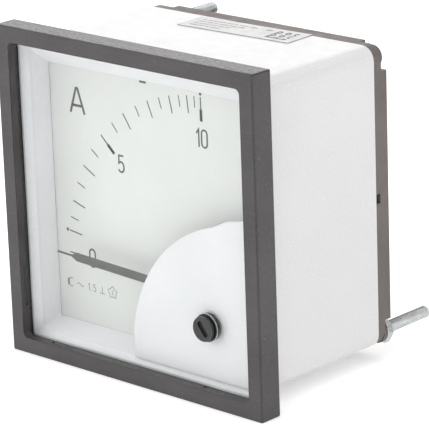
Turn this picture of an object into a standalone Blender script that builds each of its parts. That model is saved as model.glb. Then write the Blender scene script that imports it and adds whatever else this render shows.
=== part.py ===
"""Square 72 mm panel ammeter with a moving-iron movement, as an assembly of separate pieces.

Every piece is placed in the meter's own frame: x to the right, y into the depth from the bezel's
front face, z up from the bezel's centre. The empty "meter" carries that frame into the world, where
the bezel stands on z = 0 and the whole depth is centred on y = 0. Angles about the pivot count
clockwise from the left as seen from the front, the way the pointer moves up its scale.
"""

import math

import bmesh
import bpy

MM = 0.001

# Clearances
FIT = 0.3 * MM  # between parts that drop into each other
SEAT = 0.1 * MM  # between faces that rest on each other
RUN = 0.15 * MM  # round a shaft, a screw or a stud
OVER = 1.0 * MM  # by which a cutter is longer than its cut
ROOT = 0.4 * MM  # by which joined forms enter each other

# Bezel and pane
BEZEL_SIDE = 72.0 * MM
BEZEL_DEPTH = 5.5 * MM
BEZEL_LIP = 2.0 * MM  # thickness of the frame in front of the pane
BEZEL_WALL = 2.6 * MM
BEZEL_OVERLAP = 0.9 * MM  # of the frame over the recess behind it
BEZEL_EDGE = 0.3 * MM
WINDOW_CORNER = 1.2 * MM
CLIP_NOTCH_SIZE = (0.8 * MM, 0.9 * MM)  # into the wall, and in depth
SIDE_NOTCH = (-25.6 * MM, -17.0 * MM)  # stretch of the left wall
BOTTOM_NOTCHES = ((-25.2 * MM, -20.8 * MM), (18.9 * MM, 24.4 * MM))
PANE_THICKNESS = 1.2 * MM

# Housing and rear base
HOUSING_STEP = 3.5 * MM  # from the bezel's side in to the housing's
HOUSING_DEPTH = 35.2 * MM  # behind the bezel
HOUSING_WALL = 1.4 * MM
HOUSING_CORNER = 3.0 * MM
RIM_WALL = 0.55 * MM
MOUTH_WALL = 0.5 * MM
BASE_FLANGE = 2.3 * MM
BASE_RAISED = 1.7 * MM
BASE_NOTCH = 5.5 * MM  # side of the square cut from each plain corner of the raised part
NUT_ROOM = 3.1 * MM  # from a stud's axis to the raised part
BOSS_RADIUS = 2.4 * MM
BOSS_HEIGHT = 0.9 * MM
STUD_BOSS_HEIGHT = 0.5 * MM
SPIGOT_DEPTH = 2.0 * MM
SPIGOT_WALL = 1.8 * MM
LATCH = (2.0 * MM, 1.3 * MM, 0.9 * MM)  # height, depth, and how far in

# Dial and its surround
SURROUND_WALL = 0.5 * MM
SURROUND_CORNER = 0.5 * MM
SURROUND_STEP = 1.0 * MM  # depth of the chamfer round its front
SURROUND_GAP = 0.5 * MM  # from its bend to the housing's mouth
SURROUND_SILL = 0.5 * MM  # by which the bend stands lower along the bottom
DIAL_TOP_INSET = 5.7 * MM  # from the bezel's opening in to what the surround leaves of the dial
DIAL_BOTTOM_INSET = 2.9 * MM
DIAL_ROOM = 1.65 * MM  # from the pointer's root back to the dial
DIAL_THICKNESS = 0.5 * MM
DIAL_SCREW_OFFSETS = ((-9.8 * MM, -11.4 * MM), (12.2 * MM, 10.6 * MM))  # from the pivot
DIAL_SCREW_RADIUS = 0.6 * MM
DIAL_SCREW_LENGTH = 2.4 * MM

# Movement cover
COVER_THICKNESS = 0.8 * MM
COVER_WIDTH = 32.6 * MM
COVER_RADIUS = 32.1 * MM
COVER_CORNER = (1.15 * MM, 0.1 * MM)  # from the dial's lower right corner, left and down to the arc's centre
COVER_SHOULDER = (-8.45 * MM, (-4.85 * MM, 32.8 * MM), 34.0 * MM)  # from the arc's centre: x, point, height
COVER_LEG = 0.8 * MM

# Pivot, pointer and what turns with it
PIVOT_INSET = (16.5 * MM, 15.0 * MM)  # from the dial's right and bottom edges
POINTER_REST = 2.2
POINTER_GAP = 0.5 * MM  # from the cover's back to the sheet's middle
POINTER_SHEET = 0.25 * MM
POINTER_WIDTH = 1.9 * MM
POINTER_CLEARANCE = 4.5 * MM  # from the tip to the dial's left edge
NEEDLE_LENGTH = 4.2 * MM
NEEDLE_TAPER = 1.5 * MM
NEEDLE_WIDTH = 0.4 * MM
POINTER_ROOT_GAP = 0.5 * MM  # behind the hairspring
POINTER_TAIL = 7.6 * MM
CRANK = (5.2 * MM, 9.0 * MM)  # where the bar steps forward over the dial
STAFF_RADIUS = 0.5 * MM
STAFF_POINT = 0.5 * MM
HUB_RADIUS = 2.0 * MM
HUB_THICKNESS = 0.4 * MM
WEIGHT_WIDTH = 2.0 * MM
TAIL_WEIGHT = (4.8 * MM, 7.2 * MM)  # from the axis
SIDE_WEIGHT = (2.9 * MM, 5.6 * MM)

# Front bearing, lever and hairspring
BRIDGE_GAP = 0.55 * MM  # behind the pointer's middle
BRIDGE_THICKNESS = 0.7 * MM
BRIDGE_WIDTH = 4.4 * MM
BRIDGE_POST_RADIUS = 1.6 * MM
BRIDGE_POST_OFFSETS = ((9.9 * MM, 3.6 * MM), (-3.6 * MM, -9.9 * MM))  # from the pivot
BRIDGE_SCREW_RADIUS = 0.8 * MM
BRIDGE_SCREW_LENGTH = 3.4 * MM
JEWEL_RADIUS = 1.1 * MM
JEWEL_FLANGE = (1.7 * MM, 0.6 * MM)  # radius, thickness
JEWEL_REACH = 1.35 * MM  # of the front screw, from the bridge's front face
CUP_RADIUS = 0.6 * MM
CUP_DEPTH = 0.55 * MM
CUP_GAP = 0.2 * MM  # between the staff's point and the bottom of the cup
LEVER_THICKNESS = 0.4 * MM
LEVER_RING = 2.3 * MM
LEVER_WIDTH = 2.4 * MM
SPRING_HEIGHT = 0.5 * MM
SPRING_SHEET = 0.12 * MM
SPRING_TURNS = 4
SPRING_OUTER = 4.4 * MM

# Zero adjuster
ADJUSTER_OFFSET = (5.7 * MM, -5.2 * MM)  # from the pivot
ADJUSTER_RADIUS = 2.95 * MM  # of its collar
ADJUSTER_HEAD_STEP = 0.3 * MM  # how much smaller the head's radius is than the collar's
ADJUSTER_NECK = 2.1 * MM
ADJUSTER_SHANK = 1.5 * MM
ADJUSTER_HEAD = 0.65 * MM
ADJUSTER_PROUD = 1.15 * MM  # of the pane
ADJUSTER_SLOT = (3.8 * MM, 1.35 * MM, 0.5 * MM)  # length, width, depth
ADJUSTER_SLOT_ANGLE = -52.0
ECCENTRIC_RADIUS = 0.5 * MM
ECCENTRIC_OFFSET = 0.8 * MM

# Movement stack behind the dial, centred on the pivot
FRAME_THICKNESS = 2.0 * MM
FRAME_CORNER = 2.0 * MM
STACK_HALF = 13.4 * MM
STACK_SCREW = 11.2 * MM  # from the pivot, both ways
STACK_SCREW_RADIUS = 1.0 * MM
REAR_ROOM = 4.6 * MM  # from the damping lid to the terminal heads
COIL_FLANGE = 1.0 * MM
COIL_FLANGE_RADIUS = 12.6 * MM
COIL_RADIUS = 11.8 * MM
BOBBIN_BORE = 6.4 * MM
BOBBIN_WALL = 0.8 * MM
IRON_SHEET = 0.4 * MM
IRON_INSET = 2.0 * MM  # from each end of the coil
MOVING_IRON_RADIUS = 4.2 * MM
FIXED_IRON_RADIUS = 5.7 * MM
MOVING_IRON_ARC = (160.0, 205.0)
FIXED_IRON_ARC = (150.0, 260.0)
CHAMBER_DEPTH = 5.8 * MM
CHAMBER_WALL = 1.0 * MM
CHAMBER_RADIUS = 11.8 * MM
LID_THICKNESS = 1.4 * MM
VANE_SHEET = 0.3 * MM
VANE_GAP = 0.5 * MM
VANE_ANGLE = 92.0
SWEEP = (-5.0, 90.0)  # of the pointer, from rest
VANE_MARGIN = 12.0  # at each end of the sweep, for the zero lever's tilt and the vane's thickness
PILLAR_INSETS = {  # from the housing's bore
    "upper_left": (5.9 * MM, 11.1 * MM),
    "lower_left": (5.9 * MM, 9.1 * MM),
    "upper_right": (6.1 * MM, 11.1 * MM),
}
PILLAR_RADIUS = 3.0 * MM
PILLAR_SCREW = (1.2 * MM, 2.4 * MM, 1.4 * MM)  # shank radius, head radius, head thickness
PILLAR_SCREW_LENGTH = 9.0 * MM

# Terminals, leads and mounting studs
TERMINAL_HALF_SPACING = 13.0 * MM
TERMINAL_RADIUS = 2.0 * MM
TERMINAL_LENGTH = 10.0 * MM  # behind the base
TERMINAL_HEAD = (7.0 * MM, 2.6 * MM)  # across flats, thickness
TERMINAL_NUT = (7.0 * MM, 3.2 * MM)
TERMINAL_WASHER = (4.4 * MM, 0.8 * MM)  # radius, thickness
LEAD_RADIUS = 0.6 * MM
STUD_RADIUS = 1.3 * MM
STUD_LENGTH = 14.5 * MM  # behind the base
STUD_ROOT = 1.9 * MM  # length inside the base's flange
STUD_NUT = (5.0 * MM, 1.6 * MM)
STUD_INSETS = {"lower": (2.5 * MM, 2.5 * MM), "upper": (3.6 * MM, 3.8 * MM)}  # from the housing's sides
PLAIN_BOSS_INSET = 2.9 * MM
NUT_BORE = 0.2 * MM  # wider than the stud

# Rating label
LABEL_SIZE = (30.0 * MM, 8.2 * MM, 0.12 * MM)
LABEL_PLACE = (1.0 * MM, 4.4 * MM)  # to the right of the middle, and in front of the housing's back
LABEL_TURN = 2.5

# Sizes that follow from those above
HALF_BEZEL = BEZEL_SIDE / 2
HALF_RECESS = HALF_BEZEL - BEZEL_WALL
HALF_WINDOW = HALF_RECESS - BEZEL_OVERLAP
HALF_INSERT = HALF_RECESS - FIT
HALF_HOUSING = HALF_BEZEL - HOUSING_STEP
HALF_BORE = HALF_HOUSING - HOUSING_WALL
PANE_FRONT = BEZEL_LIP + SEAT
PANE_BACK = PANE_FRONT + PANE_THICKNESS
SURROUND_FRONT = PANE_BACK + SEAT
RIM_FRONT = SURROUND_FRONT + SURROUND_WALL + 2 * SEAT
RIM_BACK = BEZEL_DEPTH - SEAT
COVER_FRONT = SURROUND_FRONT + 2 * SEAT
POINTER_DEPTH = COVER_FRONT + COVER_THICKNESS + POINTER_GAP
BRIDGE_DEPTH = POINTER_DEPTH + BRIDGE_GAP
LEVER_FRONT = BRIDGE_DEPTH + BRIDGE_THICKNESS + SEAT
SPRING_FRONT = LEVER_FRONT + LEVER_THICKNESS + SEAT
POINTER_ROOT_DEPTH = SPRING_FRONT + SPRING_HEIGHT + POINTER_ROOT_GAP
HUB_FRONT = POINTER_ROOT_DEPTH + POINTER_SHEET / 2 + SEAT
DIAL_DEPTH = POINTER_ROOT_DEPTH + DIAL_ROOM
FRAME_FRONT = DIAL_DEPTH + DIAL_THICKNESS + SEAT
FRAME_BACK = FRAME_FRONT + FRAME_THICKNESS
BASE_FRONT = BEZEL_DEPTH + HOUSING_DEPTH + SEAT
BASE_STEP = BASE_FRONT + BASE_FLANGE
BASE_BACK = BASE_STEP + BASE_RAISED
STUD_TIP = BASE_BACK + STUD_LENGTH
LID_BACK = BASE_FRONT - SEAT - TERMINAL_HEAD[1] - REAR_ROOM
LID_FRONT = LID_BACK - LID_THICKNESS
CHAMBER_FRONT = LID_FRONT - SEAT - CHAMBER_DEPTH
BOBBIN_FRONT = FRAME_BACK + SEAT
COIL_LENGTH = CHAMBER_FRONT - SEAT - BOBBIN_FRONT
SPRING_RADII = (JEWEL_RADIUS + SEAT, SPRING_OUTER)
IRON_LENGTH = COIL_LENGTH - 2 * IRON_INSET

DIAL_HALF_WIDTH = HALF_BORE - FIT - SURROUND_WALL
DIAL_TOP = HALF_WINDOW - DIAL_TOP_INSET
DIAL_BOTTOM = HALF_WINDOW - DIAL_BOTTOM_INSET
PIVOT = (DIAL_HALF_WIDTH - PIVOT_INSET[0], PIVOT_INSET[1] - DIAL_BOTTOM)
DIAL_SCREWS = [(PIVOT[0] + x, PIVOT[1] + z) for x, z in DIAL_SCREW_OFFSETS]
BRIDGE_POSTS = [(PIVOT[0] + x, PIVOT[1] + z) for x, z in BRIDGE_POST_OFFSETS]
ADJUSTER = (PIVOT[0] + ADJUSTER_OFFSET[0], PIVOT[1] + ADJUSTER_OFFSET[1])
COVER_CENTRE = (DIAL_HALF_WIDTH - COVER_CORNER[0], -DIAL_BOTTOM - COVER_CORNER[1])
POINTER_TIP = PIVOT[0] + DIAL_HALF_WIDTH - POINTER_CLEARANCE
POINTER_NEEDLE = POINTER_TIP - NEEDLE_LENGTH
POINTER_SHOULDER = POINTER_NEEDLE - NEEDLE_TAPER

# The surround's outside runs straight from its bend to the dial, and the thinned mouth of the
# housing ends where that slope has come inside the bore
BEND_HALF = HALF_HOUSING - MOUTH_WALL - SURROUND_GAP - SURROUND_WALL
BEND_DEPTH = SURROUND_FRONT + SURROUND_STEP
SLOPE_START = BEND_DEPTH + SURROUND_WALL / 2
SLOPE_END = DIAL_DEPTH - SEAT
SLOPE_SHARE = (BEND_HALF + SURROUND_WALL - HALF_BORE + SEAT) / (BEND_HALF - DIAL_HALF_WIDTH)
MOUTH_BACK = SLOPE_START + SLOPE_SHARE * (SLOPE_END - SLOPE_START)
STACK_SCREWS = (
    (PIVOT[0] - STACK_SCREW, PIVOT[1] + STACK_SCREW),
    (PIVOT[0] + STACK_SCREW, PIVOT[1] - STACK_SCREW),
)
TERMINALS = {"left": (-TERMINAL_HALF_SPACING, 0.0), "right": (TERMINAL_HALF_SPACING, 0.0)}


def inset_corner(half, inset, right, up):
    """A place near a corner of a square, with right and up each 1 or -1."""
    return (right * (half - inset[0]), up * (half - inset[1]))


PILLARS = (
    inset_corner(HALF_BORE, PILLAR_INSETS["upper_left"], -1, 1),
    inset_corner(HALF_BORE, PILLAR_INSETS["lower_left"], -1, -1),
    inset_corner(HALF_BORE, PILLAR_INSETS["upper_right"], 1, 1),
)
STUDS = {
    "lower": inset_corner(HALF_HOUSING, STUD_INSETS["lower"], 1, -1),
    "upper": inset_corner(HALF_HOUSING, STUD_INSETS["upper"], -1, 1),
}
PLAIN_BOSSES = (
    inset_corner(HALF_HOUSING, (PLAIN_BOSS_INSET, PLAIN_BOSS_INSET), -1, -1),
    inset_corner(HALF_HOUSING, (PLAIN_BOSS_INSET, PLAIN_BOSS_INSET), 1, 1),
)

# Finishes: colour, roughness, metallic
BLACK_PLASTIC = ((0.035, 0.034, 0.034), 0.55, 0.0)
DARK_PLASTIC = ((0.12, 0.11, 0.10), 0.6, 0.0)
WHITE_PLASTIC = ((0.82, 0.82, 0.80), 0.45, 0.0)
CLEAR_PLASTIC = ((0.93, 0.96, 0.96), 0.05, 0.0)
PRINTED_SHEET = ((0.80, 0.83, 0.77), 0.5, 0.0)
TAN_PLASTIC = ((0.60, 0.48, 0.32), 0.5, 0.0)
RED_SLEEVE = ((0.50, 0.05, 0.04), 0.5, 0.0)
BLACK_PAINT = ((0.03, 0.03, 0.03), 0.5, 0.3)
ALUMINIUM = ((0.76, 0.77, 0.78), 0.35, 1.0)
BRASS = ((0.78, 0.57, 0.28), 0.3, 1.0)
BRONZE = ((0.66, 0.44, 0.25), 0.3, 1.0)
COPPER = ((0.72, 0.33, 0.18), 0.35, 1.0)
IRON = ((0.42, 0.42, 0.43), 0.45, 1.0)
ZINC = ((0.60, 0.60, 0.58), 0.35, 1.0)
FOIL = ((0.70, 0.70, 0.70), 0.45, 0.3)


for leftover in list(bpy.data.objects):
    bpy.data.objects.remove(leftover)

PARTS = bpy.data.collections.new("panel_ammeter")
CUTTERS = bpy.data.collections.new("cutters")
for collection in (PARTS, CUTTERS):
    bpy.context.scene.collection.children.link(collection)
CUTTERS.hide_render = True

METER = bpy.data.objects.new("meter", None)
METER.location = (0, -STUD_TIP / 2, HALF_BEZEL)
PARTS.objects.link(METER)


# Outlines, as lists of (x, z) seen from the front


def arc(radius, start, end, steps, centre=(0.0, 0.0)):
    """Points of an arc, with angles that count clockwise from the left."""
    turns = [math.radians(start + (end - start) * i / steps) for i in range(steps + 1)]
    return [(centre[0] - radius * math.cos(t), centre[1] + radius * math.sin(t)) for t in turns]


def about_pivot(radius, angle):
    return arc(radius, angle, angle, 1, PIVOT)[0]


def circle(radius, centre=(0.0, 0.0), steps=32):
    return arc(radius, 0, 360, steps, centre)[:-1]


def hexagon(across_flats):
    return circle(across_flats / math.sqrt(3), steps=6)


def rectangle(side, bottom, top):
    return [(-side, -bottom), (side, -bottom), (side, top), (-side, top)]


def rounded_rectangle(side, bottom, top, radius, steps=5):
    """A rectangle with rounded corners, as far to the left as to the right."""
    left, right = radius - side, side - radius
    low, high = radius - bottom, top - radius
    corners = ((left, high), (right, high), (right, low), (left, low))
    points = []
    for turn, corner in enumerate(corners):
        points += arc(radius, turn * 90, turn * 90 + 90, steps, corner)
    return points


def rounded_square(half, radius):
    return rounded_rectangle(half, half, half, radius)


def bar(start, end, width, steps=8):
    """A straight bar with round ends."""
    angle = math.degrees(math.atan2(end[1] - start[1], start[0] - end[0]))
    far = arc(width / 2, angle - 90, angle + 90, steps, end)
    near = arc(width / 2, angle + 90, angle + 270, steps, start)
    return far + near


def band(inner, outer, start, end, steps=12):
    """A strip bent round the pivot."""
    return arc(outer, start, end, steps, PIVOT) + arc(inner, end, start, steps, PIVOT)


def spiral(radii, turns, thickness, start, steps=20):
    """A spiral strip round the pivot, from the inner radius out."""
    count = turns * steps
    outside, inside = [], []
    for i in range(count + 1):
        middle = radii[0] + (radii[1] - radii[0]) * i / count
        angle = start + 360 * (i - count) / steps
        outside.append(about_pivot(middle + thickness / 2, angle))
        inside.append(about_pivot(middle - thickness / 2, angle))
    return outside + inside[::-1]


# Forms


def paint(piece, finish):
    """Gives a piece its own material."""
    colour, roughness, metallic = finish
    material = bpy.data.materials.new(piece.name)
    material.use_nodes = True
    shader = material.node_tree.nodes["Principled BSDF"]
    shader.inputs["Base Color"].default_value = (*colour, 1.0)
    shader.inputs["Roughness"].default_value = roughness
    shader.inputs["Metallic"].default_value = metallic
    material.diffuse_color = (*colour, 1.0)
    piece.data.materials.append(material)


def place(name, data, finish, at=(0.0, 0.0), depth=0.0, upright=False):
    """Puts a shape in the meter's frame. Its own z points out of the front unless it's upright."""
    piece = bpy.data.objects.new(name, data)
    PARTS.objects.link(piece)
    piece.parent = METER
    piece.location = (at[0], depth, at[1])
    piece.rotation_euler.x = 0.0 if upright else math.pi / 2
    if finish:
        paint(piece, finish)
    return piece


def shade(data):
    data.shade_smooth()
    data.set_sharp_from_angle(angle=math.radians(35))


def plate(name, finish, outline, front, thickness, holes=(), at=(0.0, 0.0)):
    """A flat piece with its front face at this depth."""
    curve = bpy.data.curves.new(name, "CURVE")
    curve.dimensions = "2D"
    curve.fill_mode = "BOTH"
    curve.extrude = thickness / 2
    for loop in (outline, *holes):
        spline = curve.splines.new("POLY")
        spline.points.add(len(loop) - 1)
        for point, (x, z) in zip(spline.points, loop):
            point.co = (x, z, 0, 1)
        spline.use_cyclic_u = True
    flat = bpy.data.objects.new(name, curve)
    PARTS.objects.link(flat)
    graph = bpy.context.evaluated_depsgraph_get()
    data = bpy.data.meshes.new_from_object(flat.evaluated_get(graph))
    bpy.data.objects.remove(flat)
    form = bmesh.new()
    form.from_mesh(data)
    bmesh.ops.remove_doubles(form, verts=form.verts, dist=1e-7)
    form.to_mesh(data)
    form.free()
    shade(data)
    return place(name, data, finish, at, front + thickness / 2)


def block(name, finish, low, high):
    """A box between two corners, each (x, depth, z)."""
    data = bpy.data.meshes.new(name)
    form = bmesh.new()
    bmesh.ops.create_cube(form, size=1)
    bmesh.ops.scale(form, verts=form.verts, vec=[b - a for a, b in zip(low, high)])
    form.to_mesh(data)
    form.free()
    middle = [(a + b) / 2 for a, b in zip(low, high)]
    return place(name, data, finish, (middle[0], middle[2]), middle[1], upright=True)


def turned(name, finish, profile, at=(0.0, 0.0), steps=32, ring=False):
    """A round piece from (depth, radius) pairs that run front to back down its outside.

    A ring's profile goes on forwards up its bore and closes.
    """
    last = len(profile) - 1
    edges = [(i, i + 1) for i in range(last)]
    if ring:
        edges.append((last, 0))
    data = bpy.data.meshes.new(name)
    data.from_pydata([(radius, 0, -depth) for depth, radius in profile], edges, [])
    piece = place(name, data, finish, at)
    screw = piece.modifiers.new("turn", "SCREW")
    screw.steps = screw.render_steps = steps
    screw.use_merge_vertices = True
    screw.merge_threshold = 1e-6
    return piece


def rod(name, finish, radius, front, back, at=(0.0, 0.0), steps=32):
    return turned(name, finish, [(front, 0), (front, radius), (back, radius), (back, 0)], at, steps)


def lofted(name, finish, rings):
    """A closed form through square rings, each (outline, depth), the last joined to the first."""
    count = len(rings[0][0])
    points = [(x, depth, z) for outline, depth in rings for x, z in outline]
    faces = []
    for ring in range(len(rings)):
        after = (ring + 1) % len(rings)
        for i in range(count):
            j = (i + 1) % count
            corners = (ring * count + i, ring * count + j, after * count + j, after * count + i)
            faces.append(corners)
    data = bpy.data.meshes.new(name)
    data.from_pydata(points, [], faces)
    form = bmesh.new()
    form.from_mesh(data)
    bmesh.ops.recalc_face_normals(form, faces=form.faces)
    form.to_mesh(data)
    form.free()
    shade(data)
    return place(name, data, finish, upright=True)


def combine(piece, tool, operation):
    """Cuts or joins with a helper form, which is then hidden."""
    modifier = piece.modifiers.new(tool.name, "BOOLEAN")
    modifier.object = tool
    modifier.operation = operation
    modifier.solver = "EXACT"
    PARTS.objects.unlink(tool)
    CUTTERS.objects.link(tool)
    tool.hide_render = True
    tool.display_type = "WIRE"


def cut(piece, tool):
    combine(piece, tool, "DIFFERENCE")


def join(piece, tool):
    combine(piece, tool, "UNION")


def screw_with_slot(name, finish, at, front, shank, head, length, behind=False):
    """A slotted cheese-head screw. Head is (radius, thickness), and behind turns it round."""
    head_radius, head_thickness = head
    way = -1 if behind else 1
    neck = front + way * head_thickness
    tip = neck + way * length
    profile = [(front, 0), (front, head_radius), (neck, head_radius), (neck, shank), (tip, shank), (tip, 0)]
    piece = turned(name, finish, profile[::-1] if behind else profile, at, steps=24)
    floor = front + way * head_thickness / 2
    air = front - way * OVER
    half = head_radius / 5
    reach = head_radius + OVER
    slot = block(
        name + "_slot",
        None,
        (at[0] - reach, min(floor, air), at[1] - half),
        (at[0] + reach, max(floor, air), at[1] + half),
    )
    cut(piece, slot)
    return piece


# Case


def bezel():
    """Square frame with a lip in front of the pane and notches for the clips of the insert."""
    frame = block(
        "bezel",
        BLACK_PLASTIC,
        (-HALF_BEZEL, 0, -HALF_BEZEL),
        (HALF_BEZEL, BEZEL_DEPTH, HALF_BEZEL),
    )
    edge = frame.modifiers.new("edge", "BEVEL")
    edge.width = BEZEL_EDGE
    edge.segments = 2
    window = rounded_square(HALF_WINDOW, WINDOW_CORNER)
    cut(frame, plate("window", None, window, -OVER, BEZEL_LIP + 2 * OVER))
    recess = rounded_square(HALF_RECESS, WINDOW_CORNER / 2)
    cut(frame, plate("recess", None, recess, BEZEL_LIP, BEZEL_DEPTH))
    into, depth = CLIP_NOTCH_SIZE
    front, back = BEZEL_LIP - depth, BEZEL_LIP + OVER
    wall, inside = -HALF_WINDOW - into, -HALF_WINDOW + OVER
    low, high = SIDE_NOTCH
    cut(frame, block("side_notch", None, (wall, front, low), (inside, back, high)))
    for left, right in BOTTOM_NOTCHES:
        cut(frame, block("bottom_notch", None, (left, front, wall), (right, back, inside)))


def window_pane():
    hole = circle(ADJUSTER_RADIUS + RUN, ADJUSTER)
    outline = rounded_square(HALF_INSERT, WINDOW_CORNER / 2)
    plate("window_pane", CLEAR_PLASTIC, outline, PANE_FRONT, PANE_THICKNESS, [hole])


def housing():
    """Square tube with a rim that the bezel holds and a thinned mouth for the surround."""
    insert = rounded_square(HALF_INSERT, HOUSING_CORNER / 2)
    rim = rounded_square(HALF_INSERT - RIM_WALL, HOUSING_CORNER / 2)
    mouth = rounded_square(HALF_HOUSING - MOUTH_WALL, HOUSING_CORNER - MOUTH_WALL)
    outside = rounded_square(HALF_HOUSING, HOUSING_CORNER)
    bore = rounded_square(HALF_BORE, HOUSING_CORNER - HOUSING_WALL)
    mouth_front = RIM_BACK - RIM_WALL
    end = BEZEL_DEPTH + HOUSING_DEPTH
    rings = (
        (insert, RIM_FRONT),
        (insert, RIM_BACK),
        (outside, RIM_BACK),
        (outside, end),
        (bore, end),
        (bore, MOUTH_BACK),
        (mouth, MOUTH_BACK),
        (mouth, mouth_front),
        (rim, mouth_front),
        (rim, RIM_FRONT),
    )
    lofted("housing", WHITE_PLASTIC, rings)


def dial_surround():
    """White tray from the pane to the dial, with a chamfered mouth and a sloping top."""
    lip = HALF_WINDOW + SEAT
    side = BEND_HALF
    bottom = side + SURROUND_SILL
    wall = SURROUND_WALL
    flange = rounded_square(HALF_INSERT, WINDOW_CORNER / 2)
    back = lip - wall / 2
    dial = (DIAL_HALF_WIDTH, DIAL_BOTTOM, DIAL_TOP)
    outside = (side + wall, bottom + 0.7 * wall, side + wall)
    rings = (
        (flange, SURROUND_FRONT),
        (rounded_square(lip, SURROUND_CORNER), SURROUND_FRONT),
        (rounded_rectangle(side, bottom, side, SURROUND_CORNER), BEND_DEPTH),
        (rounded_rectangle(*dial, SURROUND_CORNER), SLOPE_END),
        (rounded_rectangle(*(size + wall for size in dial), HOUSING_CORNER / 2), SLOPE_END),
        (rounded_rectangle(*outside, HOUSING_CORNER / 2), SLOPE_START),
        (rounded_square(back, HOUSING_CORNER / 2), SURROUND_FRONT + wall),
        (flange, SURROUND_FRONT + wall),
    )
    lofted("dial_surround", WHITE_PLASTIC, rings)


def boss(base, name, centre, height):
    front = BASE_STEP - ROOT
    join(base, rod(name, None, BOSS_RADIUS, front, BASE_STEP + height, centre, 24))


def rear_base():
    """Flange with a raised back, corner bosses, a spigot inside the housing and two latch notches."""
    side = HALF_HOUSING - SEAT
    outline = rounded_square(side, HOUSING_CORNER)
    base = plate("rear_base", DARK_PLASTIC, outline, BASE_FRONT, BASE_FLANGE + BASE_RAISED)
    corners = [(x, z, side - BASE_NOTCH, side - BASE_NOTCH) for x, z in PLAIN_BOSSES]
    corners += [(x, z, abs(x) - NUT_ROOM, abs(z) - NUT_ROOM) for x, z in STUDS.values()]
    for x, z, near_x, near_z in corners:
        across = sorted((math.copysign(near_x, x), math.copysign(side + OVER, x)))
        tall = sorted((math.copysign(near_z, z), math.copysign(side + OVER, z)))
        low = (across[0], BASE_STEP, tall[0])
        cut(base, block("corner_notch", None, low, (across[1], BASE_BACK + OVER, tall[1])))
    half = HALF_BORE - FIT
    corner = HOUSING_CORNER - HOUSING_WALL
    spigot = plate(
        "spigot",
        None,
        rounded_square(half, corner),
        BASE_FRONT - SPIGOT_DEPTH,
        SPIGOT_DEPTH + ROOT,
        [rounded_square(half - SPIGOT_WALL, corner)],
    )
    join(base, spigot)
    for centre in PLAIN_BOSSES:
        boss(base, "plain_boss", centre, BOSS_HEIGHT)
    for name, centre in STUDS.items():
        boss(base, name + "_boss", centre, STUD_BOSS_HEIGHT)
        start = BASE_STEP - STUD_ROOT - SEAT
        cut(base, rod("stud_hole", None, STUD_RADIUS + RUN, start, BASE_BACK + OVER, centre, 24))
    for centre in TERMINALS.values():
        radius = TERMINAL_RADIUS + RUN
        cut(base, rod("terminal_hole", None, radius, BASE_FRONT - OVER, BASE_BACK + OVER, centre, 24))
    shank, head, thickness = PILLAR_SCREW
    floor = BASE_BACK - thickness - 2 * SEAT
    for centre in PILLARS:
        stepped = [
            (BASE_FRONT - OVER, 0),
            (BASE_FRONT - OVER, shank + RUN),
            (floor, shank + RUN),
            (floor, head + RUN),
            (BASE_BACK + OVER, head + RUN),
            (BASE_BACK + OVER, 0),
        ]
        cut(base, turned("screw_hole", None, stepped, centre, 24))
    height, depth, into = LATCH
    for way in (-1, 1):
        across = sorted((way * (side - into), way * (side + OVER)))
        low = (across[0], BASE_FRONT - OVER, -height / 2)
        high = (across[1], BASE_FRONT + depth, height / 2)
        cut(base, block("latch", None, low, high))


# Dial and cover


def dial_plate():
    half = HALF_BORE - FIT
    holes = [circle(HUB_RADIUS + 3 * MM, PIVOT)]
    holes += [circle(BRIDGE_POST_RADIUS + FIT, post, 20) for post in BRIDGE_POSTS]
    holes += [circle(DIAL_SCREW_RADIUS + RUN, screw, 16) for screw in DIAL_SCREWS]
    outline = rounded_square(half, FRAME_CORNER)
    plate("dial_plate", PRINTED_SHEET, outline, DIAL_DEPTH, DIAL_THICKNESS, holes)


def dial_screws():
    for number, centre in enumerate(DIAL_SCREWS, 1):
        head = (2.2 * DIAL_SCREW_RADIUS, 1.4 * DIAL_SCREW_RADIUS)
        front = DIAL_DEPTH - SEAT - head[1]
        name = f"dial_screw_{number}"
        screw_with_slot(name, ZINC, centre, front, DIAL_SCREW_RADIUS, head, DIAL_SCREW_LENGTH)


def movement_cover():
    """Quarter disc with a raised shoulder, standing on two legs at the dial's right and bottom edges."""
    right = DIAL_HALF_WIDTH - FIT
    left = right - COVER_WIDTH
    bottom = SEAT + SEAT / 2 - BEND_HALF - SURROUND_SILL
    shoulder, point, height = COVER_SHOULDER
    start = math.degrees(math.acos((COVER_CENTRE[0] - left) / COVER_RADIUS))
    end = math.degrees(math.acos(-shoulder / COVER_RADIUS))
    outline = [(left, bottom)] + arc(COVER_RADIUS, start, end, 40, COVER_CENTRE)
    outline.append((COVER_CENTRE[0] + point[0], COVER_CENTRE[1] + point[1]))
    outline += [(right, COVER_CENTRE[1] + height), (right, bottom)]
    hole = circle(ADJUSTER_SHANK + RUN, ADJUSTER)
    cover = plate("movement_cover", WHITE_PLASTIC, outline, COVER_FRONT, COVER_THICKNESS, [hole])
    front = COVER_FRONT + COVER_THICKNESS - ROOT
    back = DIAL_DEPTH - SEAT
    foot = FIT + SEAT / 2 - DIAL_BOTTOM
    inset = 0.5 * MM
    low = (right - COVER_LEG, front, foot)
    high = (right - SEAT / 2, back, COVER_CENTRE[1] + COVER_RADIUS)
    join(cover, block("right_leg", None, low, high))
    low = (left + 2 * inset, front, foot)
    high = (right - inset, back, foot + COVER_LEG)
    join(cover, block("bottom_leg", None, low, high))


# Zero adjuster, lever and spring


def away_from_pivot():
    """Unit vector from the pivot to the adjuster, and their distance."""
    x, z = ADJUSTER[0] - PIVOT[0], ADJUSTER[1] - PIVOT[1]
    distance = math.hypot(x, z)
    return (x / distance, z / distance), distance


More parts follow.
